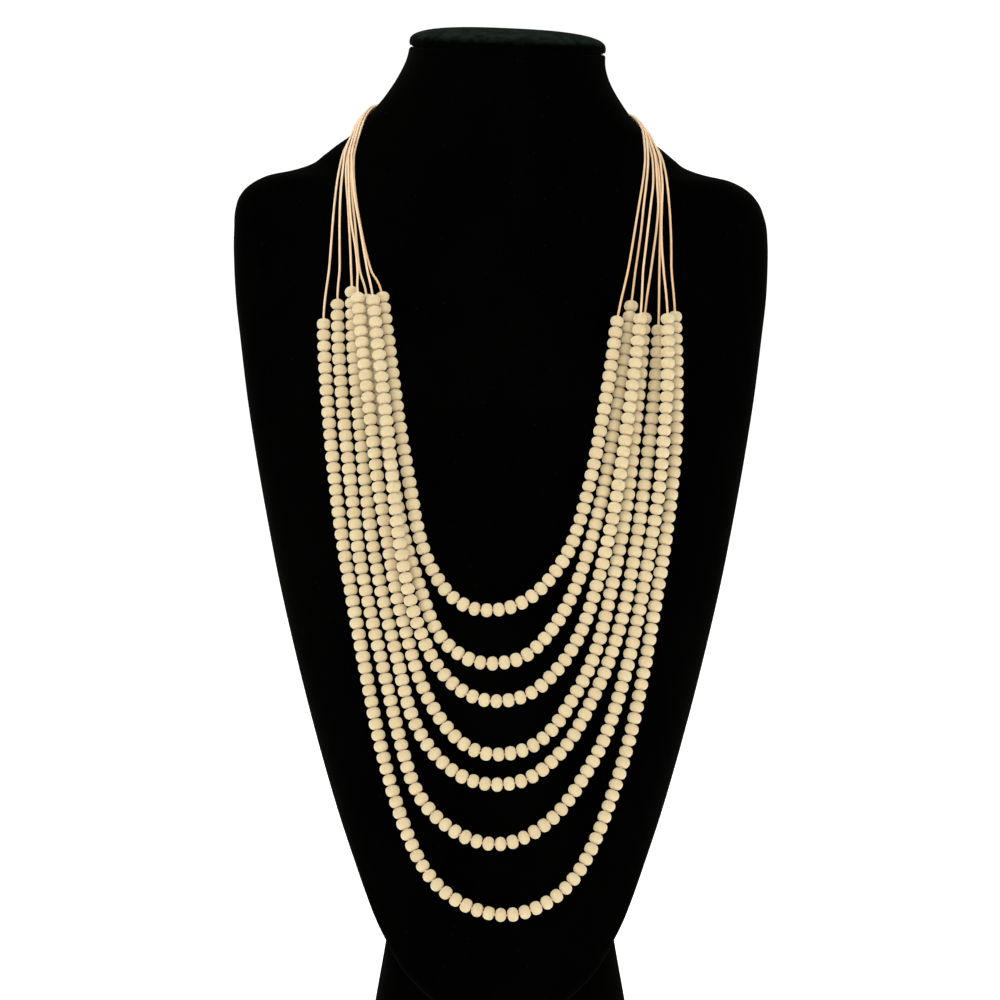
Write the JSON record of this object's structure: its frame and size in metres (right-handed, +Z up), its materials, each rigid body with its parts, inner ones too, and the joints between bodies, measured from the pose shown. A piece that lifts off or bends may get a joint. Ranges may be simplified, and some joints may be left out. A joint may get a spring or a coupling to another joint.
{
  "type": "multi strand necklace on a neck bust",
  "caption": "Wooden bead necklace of nested strings on thin cords, joined by a barrel clasp and worn by a plain velvet neck bust on a foot.",
  "frame": {"origin": "middle of the footprint's bounding box, on the floor plane under the foot", "axes": "+Z up through the neck, -Y the way the chest faces, +X to the right of a viewer in front"},
  "size_m": [0.2239, 0.1621, 0.423],
  "materials": {
    "velvet": "matt black pile with a faint sheen at its edges",
    "bead_wood": "satin varnished pale wood",
    "cord": "twisted waxed cord",
    "clasp_metal": "satin brass"
  },
  "bodies": {
    "root": {"bust": "velvet", "foot": "velvet", "neck_cap": "velvet", "clasp": "clasp_metal", "beads_1": "bead_wood", "beads_2": "bead_wood", "beads_3": "bead_wood", "beads_4": "bead_wood", "beads_5": "bead_wood", "beads_6": "bead_wood", "beads_7": "bead_wood", "thread_1": "cord", "thread_2": "cord", "thread_3": "cord", "thread_4": "cord", "thread_5": "cord", "thread_6": "cord", "thread_7": "cord"}
  },
  "joints": []
}
